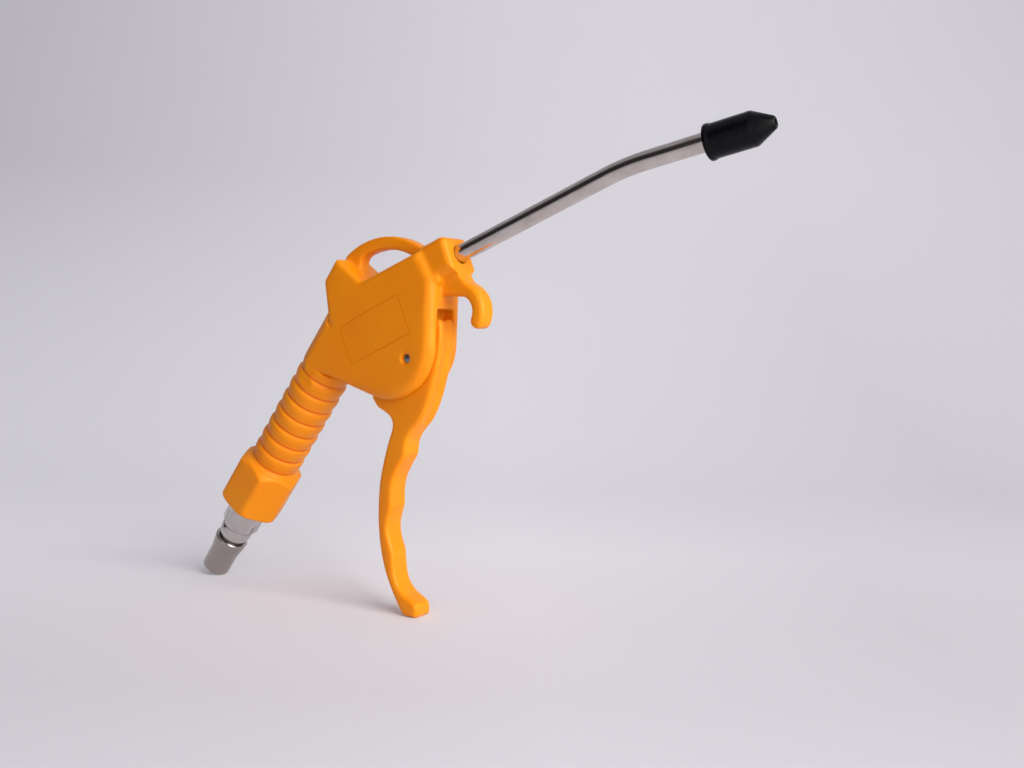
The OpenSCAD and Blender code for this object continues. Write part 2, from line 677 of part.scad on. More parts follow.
spigot_wall = 0.75;
spigot_len = 1.5;
retainer_in = 0.12;
module seal_retainer() color(brass) in_frame(cam_point, valve_tilt) difference() {
    union() {
        bar(seal_d / 2 - retainer_in, seal_top, spring_from);
        bar(stem_neck_d / 2 + spigot_wall, seal_top, spring_from + spigot_len);
    }
    bar(stem_neck_d / 2, seal_top - cut, spring_from + spigot_len + cut);
}

// Wire coil between the retainer and the end of the chamber, one unbroken tube
spring_steps = 8;
wire_sides = 6;
spring_len = chamber_end - spring_from - spring_wire;
spring_pitch = spring_len / spring_turns;
function id(i, k) = i * wire_sides + k % wire_sides;
function coil_point(i) = let (a = 360 * i / spring_steps)
    [spring_wire / 2 + spring_pitch * i / spring_steps, spring_d / 2 * cos(a), spring_d / 2 * sin(a)];
module valve_spring() color(steel) in_frame(cam_point, valve_tilt) translate([spring_from, 0, 0]) {
    rings = spring_turns * spring_steps;
    pts = [for (i = [0:rings], k = [0:wire_sides - 1])
        let (a = 360 * i / spring_steps, b = 360 * k / wire_sides, c = coil_point(i), r = spring_wire / 2)
        c + r * [sin(b), cos(b) * cos(a), cos(b) * sin(a)]];
    sides = [for (i = [0:rings - 1], k = [0:wire_sides - 1], half = [0, 1])
        half == 0 ? [id(i, k), id(i, k + 1), id(i + 1, k)] : [id(i, k + 1), id(i + 1, k + 1), id(i + 1, k)]];
    caps = [for (k = [1:wire_sides - 2], last = [0, 1])
        last == 0 ? [id(0, 0), id(0, k + 1), id(0, k)] : [id(rings, 0), id(rings, k), id(rings, k + 1)]];
    polyhedron(pts, concat(sides, caps));
}

// Nozzle

module nozzle_insert() color(brass) in_frame(elbow, nozzle_tilt) difference() {
    bar(nozzle_insert_d / 2, nozzle_insert_at, nozzle_insert_end);
    bar(tube_d / 2, nozzle_insert_at - cut, nozzle_insert_end + cut);
}

module nozzle_o_ring() color(rubber) in_frame(elbow, nozzle_tilt)
    ring((tube_d + nozzle_ring_d) / 2 + ring_gap, nozzle_ring_d, nozzle_insert_at - nozzle_ring_len / 2);

tangent_len = bend_r * tan(tube_bend / 2);
tip_wall = 1;
tube_end = tip_at + tip_len - tip_wall;
// The bend's wall is a trace thinner than the straights', which lap over its ends
bend_lap = 0.3;
bend_thin = 0.04;
module tube_straight(from, to) difference() {
    bar(tube_d / 2, from, to);
    bar(tube_bore / 2, from - cut, to + cut);
}
module nozzle_tube() color(steel) in_frame(elbow, nozzle_tilt) {
    tube_straight(tube_from, bend_at - tangent_len);
    translate([bend_at - tangent_len, 0, -bend_r]) {
        rotate([90, 0, 0])
            rotate_extrude(angle = tube_bend + 2 * bend_lap, start = 90 - tube_bend - bend_lap)
                translate([bend_r, 0]) difference() {
                    circle(d = tube_d - 2 * bend_thin);
                    circle(d = tube_bore + 2 * bend_thin);
                }
        rotate([0, tube_bend, 0]) translate([0, 0, bend_r]) tube_straight(0, tube_end - tangent_len);
    }
}

rim_round = 0.35;
rim_slope = 0.55;
module rubber_tip() color(rubber) in_frame(bend_point, tip_tilt) difference() {
    turned([[tip_at, 0], [tip_at, tip_rim_d / 2 - rim_round], [tip_at + rim_round, tip_rim_d / 2],
            [tip_at + tip_rim_w - rim_slope, tip_rim_d / 2], [tip_at + tip_rim_w, tip_d / 2],
            [tip_at + tip_len, tip_d / 2], [tip_end, cone_end_d / 2], [tip_end, 0]]);
    bar(tube_d / 2, tip_at - cut, tube_end);
    bar(jet_d / 2, tube_end - cut, tip_end + cut);
}

body();
inlet_insert();
coupler_plug();
lever();
pivot_pin();
gland_nut();
stem_o_ring();
valve_seat_bush();
bush_o_rings();
valve_stem();
valve_seal();
seal_retainer();
valve_spring();
nozzle_insert();
nozzle_o_ring();
nozzle_tube();
rubber_tip();
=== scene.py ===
# %% [markdown]
# An air duster blows dust off a bench with compressed air. It is one orange moulding with a ribbed
# grip and a flat head, a finger lever on a cross pin, a nickel-plated plug, a bent steel tube and a
# rubber tip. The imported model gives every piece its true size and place. This lesson gives each
# surface its real finish, soft edges where the mould has them, and its finest forms.

# %% The frame
import json
import math
import bmesh
import bpy
from mathutils import Matrix, Vector

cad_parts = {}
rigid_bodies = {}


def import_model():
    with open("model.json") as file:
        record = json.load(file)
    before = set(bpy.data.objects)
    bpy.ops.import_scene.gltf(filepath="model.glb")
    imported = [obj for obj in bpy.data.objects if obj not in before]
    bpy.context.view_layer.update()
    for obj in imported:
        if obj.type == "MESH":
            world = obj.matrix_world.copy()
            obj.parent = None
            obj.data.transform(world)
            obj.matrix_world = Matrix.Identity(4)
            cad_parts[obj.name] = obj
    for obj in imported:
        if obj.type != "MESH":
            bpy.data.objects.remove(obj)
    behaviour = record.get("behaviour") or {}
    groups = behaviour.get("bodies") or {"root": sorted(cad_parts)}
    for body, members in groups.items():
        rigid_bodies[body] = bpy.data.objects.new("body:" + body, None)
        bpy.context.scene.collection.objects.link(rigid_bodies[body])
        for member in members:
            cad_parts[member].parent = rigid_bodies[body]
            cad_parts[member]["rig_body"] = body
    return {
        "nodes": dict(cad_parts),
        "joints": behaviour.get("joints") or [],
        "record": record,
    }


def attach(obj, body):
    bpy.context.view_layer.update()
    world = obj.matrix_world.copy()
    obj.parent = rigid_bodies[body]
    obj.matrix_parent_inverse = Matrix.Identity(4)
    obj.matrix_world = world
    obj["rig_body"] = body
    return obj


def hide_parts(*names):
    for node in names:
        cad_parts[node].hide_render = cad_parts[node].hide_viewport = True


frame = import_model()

MM = 0.001
nodes = frame["nodes"]
mounts = {mount["name"]: mount for mount in frame["record"]["mounts"]}
joints = {joint["name"]: joint for joint in frame["joints"]}
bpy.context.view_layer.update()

# %% [markdown]
# Everything that is turned or drawn lies on one of three axes: the grip, the straight nozzle and
# the nozzle behind its bend. The plug's mount gives the first one and the rubber tip's mount the
# last one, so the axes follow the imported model. Only the bend's angle and the distances from the
# mounts to the plug's end and to the bend are written here.

# %% Axes
Y_AXIS = Vector((0, 1, 0))
NOSE_MOUNT_AT = 4.75 * MM
TUBE_BEND = math.radians(10.3)
TIP_LENGTH = 22.3 * MM
TIP_FROM_BEND = 29.5 * MM

grip_axis = -Vector(mounts["inlet_plug"]["axis"]).normalized()
plug_end = Vector(mounts["inlet_plug"]["pos_m"]) - grip_axis * NOSE_MOUNT_AT
tip_axis = Vector(mounts["blow_tip"]["axis"]).normalized()
tip_end = Vector(mounts["blow_tip"]["pos_m"])
nozzle_axis = Matrix.Rotation(-TUBE_BEND, 3, "Y") @ tip_axis
bend_point = tip_end - tip_axis * (TIP_LENGTH + TIP_FROM_BEND)
pivot = Vector(joints["lever_pivot"]["pos_m"])


def frame_on(origin, axis):
    """Matrix that lays a shape made along Z on an axis of the object."""
    across = Y_AXIS if abs(axis.y) < 0.5 else Vector((0, 0, -1))
    turn = Matrix((across.cross(axis), across, axis)).transposed()
    return Matrix.Translation(origin) @ turn.to_4x4()


print("nozzle rises", round(math.degrees(math.asin(nozzle_axis.z)), 1), "degrees")

# %% [markdown]
# The photograph was taken from the front left, a little above the object, with a short lens close
# by. A near camera makes the lever's tip and the plug spread apart, so its distance matters as
# much as its direction. The picture is turned by about one degree, which is the camera's roll.

# %% The camera
CAMERA_AZIMUTH = math.radians(32.57)
CAMERA_ELEVATION = math.radians(3.3)
CAMERA_ROLL = math.radians(1.22)
CAMERA_DISTANCE = 376 * MM
CAMERA_TARGET = Vector((31.65, 0, 91.41)) * MM
FOCAL_PIXELS = 1050
FRAME_PIXELS = 1024
SHIFT_PIXELS = -1
SENSOR = 36


def placed(name, data):
    """A new object in the scene."""
    item = bpy.data.objects.new(name, data)
    bpy.context.scene.collection.objects.link(item)
    return item


def make_camera():
    data = bpy.data.cameras.new("camera")
    data.sensor_width = SENSOR
    data.lens = FOCAL_PIXELS / FRAME_PIXELS * SENSOR
    data.shift_y = SHIFT_PIXELS / FRAME_PIXELS
    data.clip_start = 10 * MM
    camera = placed("camera", data)
    flat = math.cos(CAMERA_ELEVATION)
    back = Vector((math.sin(CAMERA_AZIMUTH) * flat, -math.cos(CAMERA_AZIMUTH) * flat,
                   math.sin(CAMERA_ELEVATION)))
    turn = (-back).to_track_quat("-Z", "Y").to_matrix() @ Matrix.Rotation(CAMERA_ROLL, 3, "Z")
    camera.matrix_world = Matrix.Translation(CAMERA_TARGET + back * CAMERA_DISTANCE) @ turn.to_4x4()
    bpy.context.scene.camera = camera
    return camera


camera = make_camera()
bpy.context.scene.view_settings.view_transform = "Standard"
print("lens in mm:", round(camera.data.lens, 1))

# %% [markdown]
# A finish is a small network of shader nodes. Written as sums and products of sockets it reads
# like the recipe it is, so one small class wraps a socket, adds a Math node for each operator and
# makes every other node with one method.

# %% Shader arithmetic


class Shade:
    """A socket in a material's node tree, with the arithmetic that numbers can take."""

    def __init__(self, tree, socket=None):
        self.tree = tree
        self.socket = socket

    def node(self, kind, settings=(), out=0, **sockets):
        """A node of this kind, its settings made first, then its sockets set or linked."""
        made = self.tree.nodes.new("ShaderNode" + kind)
        for name, value in dict(settings).items():
            setattr(made, name, value)
        for name, value in sockets.items():
            key = int(name[1:]) if name[1:].isdigit() else name.replace("_", " ")
            if isinstance(value, Shade):
                self.tree.links.new(value.socket, made.inputs[key])
            else:
                made.inputs[key].default_value = value
        return Shade(self.tree, made.outputs[out] if made.outputs else None)

    def math(self, operation, first, second=0.0):
        return self.node("Math", {"operation": operation}, i0=first, i1=second)

    def math_of(self, operation):
        return self.math(operation, self)

    def __add__(self, other):
        return self.math("ADD", self, other)

    def __sub__(self, other):
        return self.math("SUBTRACT", self, other)

    def __rsub__(self, other):
        return self.math("SUBTRACT", other, self)

    def __mul__(self, other):
        return self.math("MULTIPLY", self, other)

    __radd__ = __add__
    __rmul__ = __mul__

    def vector(self, operation, second=(0, 0, 0), out=0):
        """This vector and a second one in a Vector Math node. Its output 1 is a number."""
        return self.node("VectorMath", {"operation": operation}, out=out, i0=self, i1=second)

    def clamped(self, low, high):
        """Where this value runs from low to high, 0 to 1."""
        return self.node("MapRange", i0=self, i1=low, i2=high)

    def blend(self, first, second):
        """The first colour where this value is 0, the second where it is 1."""
        return self.node("Mix", {"data_type": "RGBA"}, out=2, i0=self, i6=first, i7=second)

    def noise(self, place, scale, detail=2.0, rough=0.5):
        return self.node("TexNoise", Vector=place, Scale=scale, Detail=detail, Roughness=rough)

    def bump(self, height, distance, strength=1.0, under=None):
        sockets = {"Height": height, "Distance": distance, "Strength": strength}
        if under:
            sockets["Normal"] = under
        return self.node("Bump", **sockets)


# %% [markdown]
# Every finish begins with an empty tree and ends in one Principled shader, so these two steps are
# written once. Marks on a turned piece are easiest to place by the distance along its axis and
# away from it. Colours are written as a screen shows them and turned into light here.

# %% Helpers for the finishes


def finish(name, colour_on_screen):
    """A new material with its tree, and the colour of its viewport swatch."""
    material = bpy.data.materials.new(name)
    material.use_nodes = True
    material.diffuse_color = (*colour_on_screen, 1)
    tree = material.node_tree
    tree.nodes.clear()
    return material, Shade(tree)


def surface(shade, **sockets):
    """The Principled shader of a finish, on the material's output."""
    shader = shade.node("BsdfPrincipled", **sockets)
    shade.node("OutputMaterial", Surface=shader)


def own_place(shade):
    """The place on the piece, in its object coordinates."""
    return shade.node("TexCoord", out=3)


def on_axis(shade, origin, axis):
    """Object coordinates turned so that Z runs along an axis of the object."""
    turn = frame_on(origin, axis).inverted()
    return shade.node("Mapping", {"vector_type": "POINT"}, Vector=own_place(shade),
                      Location=turn.to_translation(), Rotation=turn.to_euler())


def along_axis(shade, place):
    return shade.node("SeparateXYZ", out=2, Vector=place)


def from_axis(place):
    return place.vector("MULTIPLY", (1, 1, 0)).vector("LENGTH", out=1)


def linear(red, green, blue):
    """A colour written as a screen shows it, from 0 to 255, as light."""
    def light(value):
        value /= 255
        return value / 12.92 if value <= 0.04045 else ((value + 0.055) / 1.055) ** 2.4
    return (light(red), light(green), light(blue), 1)


print("a middle grey as light:", round(linear(128, 128, 128)[0], 3))

# %% [markdown]
# The housing and the lever are moulded in nylon coloured right through. The mould's skin is finely
# grained, so the gloss is soft, and the colour is a little deeper where the melt met. Handling
# polishes some places and leaves faint pale smudges. A thin red line of painted shade lies at the
# bottom of each groove between the ribs. It stands for the light there, which bounces more than once
# and loses some green each time. The rib sizes are in mm along the grip from the plug's end, and the
# ribs are shaped from them later.

# %% Orange nylon
RIB_PITCH = 6.55
FIRST_RIB = 62.0
RIB_COUNT = 8
RIB_RADIUS = 10.5
LAST_RIB_SHORT = 3
RIBS_TO = FIRST_RIB + RIB_COUNT * RIB_PITCH - LAST_RIB_SHORT
LINE_HALF = (0.085, 0.03)
LINE_DEPTH = 0.3
ORANGE = linear(242, 144, 2)
ORANGE_DEEP = linear(239, 136, 0)
ORANGE_SCUFF = linear(250, 165, 50)
# The colour of the painted shade at the bottom of the grooves between the ribs.
ORANGE_GROOVE_SHADE = linear(222, 84, 0)
ORANGE_GLOSS = (1, 0.88, 0.45, 1)


def painted_groove_shade(shade):
    """1 on the painted shade line at the bottom of each groove between the ribs, 0 elsewhere."""
    place = on_axis(shade, plug_end, grip_axis)
    along = along_axis(shade, place)
    turns = (along * (1 / (RIB_PITCH * MM)) + (0.5 - FIRST_RIB / RIB_PITCH)).math_of("FRACT")
    line = (turns - 0.5).math_of("ABSOLUTE").clamped(*LINE_HALF)
    deep = from_axis(place).clamped(RIB_RADIUS * MM, (RIB_RADIUS - LINE_DEPTH) * MM)
    return line * deep * along.clamped(RIBS_TO * MM, RIBS_TO * MM - MM)


def moulded_nylon():
    material, shade = finish("orange_nylon", (0.93, 0.29, 0.01))
    place = own_place(shade)
    clouds = shade.noise(place, 38, 3).clamped(0.35, 0.7)
    smudge = shade.noise(place, 120, 6, 0.7).clamped(0.66, 0.82)
    colour = clouds.blend(ORANGE, ORANGE_DEEP)
    colour = (smudge * 0.35).blend(colour, ORANGE_SCUFF)
    # A thin line of painted shade at the bottom of each groove between the ribs.
    colour = (painted_groove_shade(shade) * 0.9).blend(colour, ORANGE_GROOVE_SHADE)
    grain = shade.noise(place, 3200, 2, 0.6)
    waves = shade.noise(place, 90, 2)
    normal = shade.bump(grain, 0.012 * MM, 0.5, shade.bump(waves, 0.25 * MM, 0.35))
    rough = shade.noise(place, 60, 4, 0.6) * 0.12 + 0.38 - smudge * 0.06
    surface(shade, Base_Color=colour, Roughness=rough, Normal=normal, Specular_IOR_Level=0.55,
            Specular_Tint=ORANGE_GLOSS, Subsurface_Weight=0.3, Subsurface_Radius=(1, 0.2, 0.03),
            Subsurface_Scale=3 * MM)
    return material


nylon = moulded_nylon()
print("the ribs lie from", FIRST_RIB, "to", round(RIBS_TO, 1), "mm along the grip")

# %% [markdown]
# Four metals show on the real object. The plug is turned and nickel plated, with rings from the
# lathe under the plating. Its locking groove is darkened with painted shade, and couplers have
# worn its nose dull. The tube is drawn through a die, which leaves fine lines along it. The pin is
# cut wire, and the bushes are bare brass. Each line pattern runs the way its tool ran.

# %% Metals
NICKEL = linear(200, 194, 192)
NICKEL_DULL = linear(180, 174, 171)
NICKEL_WORN = linear(166, 156, 152)
# The colour of the painted shade in the plug's locking groove.
PLUG_GROOVE_SHADE = linear(60, 52, 46)
STEEL = linear(208, 200, 196)
STEEL_WARM = linear(188, 178, 171)
PIN_GREY = linear(150, 158, 164)
PIN_DULL = linear(110, 116, 122)
BRASS = linear(206, 168, 96)
BRASS_DULL = linear(170, 128, 62)
NOSE_TO = 17.6 * MM
GROOVE_RADIUS = 5.9 * MM
GROOVE_FROM = 17.8 * MM
GROOVE_TO = 19.3 * MM
EDGE = 0.2 * MM
RINGS_ALONG = (0.02, 0.02, 1)


def plug_wear_and_shade(shade, place, colour):
    """The plug's colour with its worn nose and painted shade in its locking groove."""
    along = along_axis(shade, place)
    colour = along.clamped(NOSE_TO + EDGE, NOSE_TO).blend(colour, NICKEL_WORN)
    inside = from_axis(place).clamped(GROOVE_RADIUS + EDGE, GROOVE_RADIUS)
    after = along.clamped(GROOVE_FROM - EDGE, GROOVE_FROM)
    before = along.clamped(GROOVE_TO + EDGE, GROOVE_TO)
    # Painted shade: the locking groove is darkened by its depth below the plug's surface.
    return (inside * after * before * 0.85).blend(colour, PLUG_GROOVE_SHADE)


def turned_metal(name, colour, dull, origin, axis, rough, ring_depth, marks=None):
    """Turned metal with rings round its axis. The function marks adds a piece's own marks."""
    material, shade = finish(name, colour[:3])
    place = on_axis(shade, origin, axis)
    rings = shade.noise(place.vector("MULTIPLY", RINGS_ALONG), 2600, 2)
    stain = shade.noise(place, 420, 4, 0.6).clamped(0.45, 0.85)
    colour = (stain * 0.6).blend(colour, dull)
    if marks:
        colour = marks(shade, place, colour)
    normal = shade.bump(rings, ring_depth, 0.6)
    surface(shade, Base_Color=colour, Metallic=1.0, Roughness=stain * 0.08 + rough, Normal=normal)
    return material


def drawn_steel():
    """The tube's own coordinates lie in an attribute, so the lines follow its bend."""
    material, shade = finish("drawn_steel", (0.6, 0.58, 0.55))
    drawn = shade.node("Attribute", {"attribute_name": "drawn"}, out=1)
    lines = shade.noise(drawn, 2400, 3, 0.6)
    stain = shade.noise(own_place(shade), 150, 4, 0.6).clamped(0.38, 0.72)
    colour = stain.blend(STEEL, STEEL_WARM)
    rough = lines * 0.06 + 0.13 + stain * 0.04
    surface(shade, Base_Color=colour, Metallic=1.0, Roughness=rough,
            Normal=shade.bump(lines, 0.01 * MM, 0.5))
    return material


nickel = turned_metal("nickel_plate", NICKEL, NICKEL_DULL, plug_end, grip_axis, 0.13, 0.008 * MM,
                      plug_wear_and_shade)
steel_tube = drawn_steel()
pin_steel = turned_metal("pin_steel", PIN_GREY, PIN_DULL, pivot, Y_AXIS, 0.26, 0.01 * MM)
brass = turned_metal("turned_brass", BRASS, BRASS_DULL, plug_end, grip_axis, 0.26, 0.012 * MM)
print("metals:", [metal.name for metal in (nickel, steel_tube, pin_steel, brass)])

# %% [markdown]
# Rubber is nearly black and never quite even. The tip and the rings were pressed in a mould, so
# they carry a fine grain, and dust greys them a little where they are rubbed. The pieces inside
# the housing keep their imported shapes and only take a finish.

# %% Rubber and the inner pieces
RUBBER = linear(4, 3, 6)
RUBBER_RUBBED = linear(14, 13, 16)


def moulded_rubber():
    material, shade = finish("black_rubber", (0.02, 0.02, 0.02))
    place = own_place(shade)
    rubbed = shade.noise(place, 260, 5, 0.65).clamped(0.45, 0.85)
    colour = (rubbed * 0.6).blend(RUBBER, RUBBER_RUBBED)
    grain = shade.noise(place, 4200, 2)
    surface(shade, Base_Color=colour, Roughness=rubbed * 0.1 + 0.23,
            Normal=shade.bump(grain, 0.01 * MM, 0.5), Specular_IOR_Level=0.15)
    return material


rubber = moulded_rubber()
INNER_FINISHES = {
    "inlet_insert": brass, "gland_nut": brass, "valve_seat_bush": brass, "seal_retainer": brass,
    "nozzle_insert": brass, "valve_stem": pin_steel, "valve_spring": pin_steel,
    "stem_o_ring": rubber, "bush_o_rings": rubber, "valve_seal": rubber, "nozzle_o_ring": rubber,
}
for name, material in INNER_FINISHES.items():
    mesh = nodes[name].data
    mesh.materials.clear()
    mesh.materials.append(material)
print("inner pieces with a finish:", len(INNER_FINISHES))

# %% [markdown]
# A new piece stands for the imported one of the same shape, so it rides on the same body, hides the
# plain one and keeps its place in its mesh. Its smooth faces are split only where an edge is
# sharp on the real piece. Where one shape is cut with another, the exact boolean does it, because
# it leaves a closed shape closed.

# %% Putting a piece in the scene


def put(mesh, node, name, material, sharp=35):
    """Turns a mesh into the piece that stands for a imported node."""
    mesh.materials.clear()
    mesh.materials.append(material)
    mesh.shade_smooth()
    mesh.set_sharp_from_angle(angle=math.radians(sharp))
    piece = placed(name, mesh)
    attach(piece, nodes[node]["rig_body"])
    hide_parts(node)
    print(name, "has", len(mesh.polygons), "faces")
    return piece


def to_mesh(bm, name):
    """Closes the poles and seams, points the faces outwards and empties the bmesh into a mesh."""
    bmesh.ops.remove_doubles(bm, verts=bm.verts, dist=0.0005 * MM)
    bmesh.ops.recalc_face_normals(bm, faces=bm.faces)
    mesh = bpy.data.meshes.new(name)
    bm.to_mesh(mesh)
    bm.free()
    return mesh


def add_to(bm, shape, name):
    """Adds a closed shape to another bmesh."""
    mesh = to_mesh(shape, name)
    bm.from_mesh(mesh)
    bpy.data.meshes.remove(mesh)


def joined(shapes, name):
    """Several closed shapes in one mesh."""
    bm = bmesh.new()
    for shape in shapes:
        add_to(bm, shape, name)
    mesh = bpy.data.meshes.new(name)
    bm.to_mesh(mesh)
    bm.free()
    return mesh


def cut_with(mesh, cutter, operation="DIFFERENCE"):
    """The mesh with the cutter's shape taken out of it, or only what both shapes share."""
    block, tool = placed("block", mesh), placed("tool", cutter)
    cut = block.modifiers.new("cut", "BOOLEAN")
    cut.operation, cut.object, cut.solver = operation, tool, "EXACT"
    seen = block.evaluated_get(bpy.context.evaluated_depsgraph_get())
    result = bpy.data.meshes.new_from_object(seen)
    for item in (block, tool):
        bpy.data.objects.remove(item)
    return result


# %% [markdown]
# The housing is one moulding, and a mould has no sharp edges: every rim, rib and corner is rounded
# by a few tenths of a millimetre, inside corners too. Bevelling the edges of such a mixed shape
# one by one would leave gaps where they meet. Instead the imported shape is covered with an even
# skin of small squares, and the skin is smoothed a little, which rounds all edges at once.

# %% A moulding's soft skin


def smooth(bm, factor):
    """One pass that draws each point towards its neighbours."""
    bmesh.ops.smooth_vert(bm, verts=bm.verts, factor=factor, use_axis_x=True, use_axis_y=True,
                          use_axis_z=True)


def skinned(bm, name, square, passes):
    """The shape in bm, covered with squares of this size and smoothed."""
    block = placed(name, to_mesh(bm, name))
    remesh = block.modifiers.new("skin", "REMESH")
    remesh.mode = "VOXEL"
    remesh.voxel_size = square
    seen = block.evaluated_get(bpy.context.evaluated_depsgraph_get())
    skin = bmesh.new()
    skin.from_mesh(seen.to_mesh())
    seen.to_mesh_clear()
    bpy.data.objects.remove(block)
    for step in range(passes):
        smooth(skin, 0.5)
    return skin


def packed_shape(node):
    """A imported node's triangles, joined into one closed shape."""
    bm = bmesh.new()
    bm.from_mesh(nodes[node].data)
    bmesh.ops.remove_doubles(bm, verts=bm.verts, dist=0.001 * MM)
    return bm


# %% [markdown]
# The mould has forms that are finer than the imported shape. The grip's ribs are teeth that fall
# steeply and rise gently, and the neck above them is as wide as they are, with flat sides in line
# with the cheeks. The hexagon's upper rim is bevelled widely. Each point of the skin near the grip
# is moved on to these forms. All these sizes are in mm, and the places are given along the grip
# from the plug's end.

# %% Ribs, neck and hexagon
RIB_DEEP = 0.7
RIB_LEAD = 2
RIB_FALL = (-1.3, -0.5)
RIB_RISE = (0.1, 3.4)
RIM_FROM = 57
RIM_INSIDE = 10.8
RIM_RADIUS = 13.8
RIM_BEVEL = 2.2
RIM_BEVELLED = (57.6, 60)
SHAFT_FROM = 60.6
SHAFT_RADII = (8.8, 11.3)
HEAD_FROM = 129.9
WING_BEHIND = 4
CHIN_FROM = 109.5
CHIN_SLOPE = 0.268
CHIN_BEHIND = 0.3
FACING_OUT = 0.4
CHEEK_HALF = 9.8
FLATS_BEGIN = (98, 104)
FLATS_SPARE = 5
grip_frame = frame_on(plug_end, grip_axis)


def between(value, low, high):
    """0 below low, 1 above high and a straight rise in between."""
    return min(max((value - low) / (high - low), 0), 1)


def rib_radius(along):
    """The grip's radius at this distance from the plug's end."""
    step = (along - FIRST_RIB + RIB_LEAD) % RIB_PITCH - RIB_LEAD
    tooth = min(between(step, *RIB_FALL), 1 - between(step, *RIB_RISE))
    ribbed = FIRST_RIB - RIB_LEAD < along < RIBS_TO
    return RIB_RADIUS - ribbed * RIB_DEEP * tooth


def on_shaft(ahead, across, along, outward):
    """Whether a point lies on the round outside of the ribs or of the neck, below the head."""
    behind, radius = -ahead, math.hypot(ahead, across)
    below_wing = along < HEAD_FROM + max(behind - WING_BEHIND, 0)
    below_chin = along < CHIN_FROM + CHIN_SLOPE * (WING_BEHIND - behind) or behind > CHIN_BEHIND
    faces_out = outward.x * ahead + outward.y * across > FACING_OUT * radius
    return (SHAFT_FROM < along and below_wing and below_chin and faces_out
            and SHAFT_RADII[0] < radius < SHAFT_RADII[1])


def on_grip(point, outward):
    """Where a point of the skin lies on the finished grip: ahead, across, along."""
    ahead, across, along = point
    radius = math.hypot(ahead, across)
    if RIM_FROM < along < SHAFT_FROM and radius > RIM_INSIDE:
        grow = min(1, (RIM_RADIUS - between(along, *RIM_BEVELLED) * RIM_BEVEL) / radius)
    elif on_shaft(ahead, across, along, outward):
        grow = rib_radius(along) / radius
    else:
        return point
    side = CHEEK_HALF + (1 - between(along, *FLATS_BEGIN)) * FLATS_SPARE
    return Vector((ahead * grow, max(-side, min(side, across * grow)), along))


print("rib tops and grooves in mm:", RIB_RADIUS, "and", round(RIB_RADIUS - RIB_DEEP, 1))

# %% [markdown]
# The nozzle block's lower corners are rounder than its upper ones. A bevel can't reach them once
# the skin is on, so the points near them are moved on to a larger circle, in the nozzle's own
# frame, also in mm. One light pass of smoothing joins the new corners to the block. Then the
# grip's points are moved, twice, because some faces point outwards only after the first time.

# %% The block's lower corners
ELBOW_FROM_BEND = 123.2
CORNER_BELOW = 2.4
CORNER_ASIDE = 3.3
CORNER_RADIUS = 4.5
BLOCK_FROM = 42.6
BLOCK_FULL = 44
BLOCK_TO = 51.5
FLANK = 4.3
elbow_point = bend_point - nozzle_axis * ELBOW_FROM_BEND * MM
nozzle_frame = frame_on(elbow_point, nozzle_axis)


def on_block(point, outward):
    """Where a point of the skin lies on the finished block: below, across, along."""
    below, across, along = point
    corner = Vector((below - CORNER_BELOW, abs(across) - CORNER_ASIDE))
    if (along < BLOCK_FROM or along > BLOCK_TO or abs(across) < FLANK or corner.x < 0
            or corner.length < CORNER_RADIUS):
        return point
    corner *= 1 - between(along, BLOCK_FROM, BLOCK_FULL) * (1 - CORNER_RADIUS / corner.length)
    return Vector((CORNER_BELOW + corner.x, math.copysign(CORNER_ASIDE + corner.y, across), along))


def move(skin, frame_matrix, rule):
    """Moves each point of the skin as a rule says, in the frame of an axis."""
    skin.normal_update()
    inverse, turn = frame_matrix.inverted(), frame_matrix.to_3x3().inverted()
    for vert in skin.verts:
        point = rule(inverse @ vert.co / MM, turn @ vert.normal)
        vert.co = frame_matrix @ (point * MM)


def refine(skin):
    """Moves the points of the housing's skin on to its finer forms."""
    move(skin, nozzle_frame, on_block)
    smooth(skin, 0.35)
    move(skin, grip_frame, on_grip)
    move(skin, grip_frame, on_grip)


print("radius of the block's lower corners in mm:", CORNER_RADIUS)

# %% [markdown]
# A web carries the hook below the block, and its front is flush with the block's. Its outline is
# drawn in the housing's middle plane, as height above the nozzle's axis and place along it in mm,
# and made solid across. It is added before the skin, which melts it into the rest.

# %% The web between the block and the hook
WEB_OUTLINE = [
    (-3, 46), (-3, 50.4), (-7, 50.7), (-9.7, 51.1), (-11.8, 52), (-14.2, 53.5), (-16.6, 54.6),
    (-18.5, 55), (-17, 52.4), (-14, 50), (-11, 47),
]
WEB_HALF = 4 * MM
WEB_ROUNDING = 1.2 * MM


def make_web():
    web = bmesh.new()
    points = [web.verts.new((-above * MM, -WEB_HALF, along * MM)) for above, along in WEB_OUTLINE]
    web.faces.new(points)
    far = bmesh.ops.extrude_face_region(web, geom=web.faces[:])["geom"]
    bmesh.ops.translate(web, verts=[item for item in far if isinstance(item, bmesh.types.BMVert)],
                        vec=(0, 2 * WEB_HALF, 0))
    rims = [edge for edge in web.edges if abs(edge.verts[0].co.y - edge.verts[1].co.y) < 0.1 * MM]
    bmesh.ops.bevel(web, geom=rims, offset=WEB_ROUNDING, offset_type="OFFSET", affect="EDGES",
                    segments=3, profile=0.5, clamp_overlap=True, material=-1)
    bmesh.ops.transform(web, matrix=nozzle_frame, verts=web.verts)
    return web


print("the web is", round(2 * WEB_HALF / MM, 1), "mm wide")

# %% [markdown]
# A plain panel lies on the near cheek inside a thin frame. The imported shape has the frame's lines,
# but a skin would blur them. So a plate fills the lines first, and a ring cuts them again when
# everything else is smooth, which keeps them crisp.

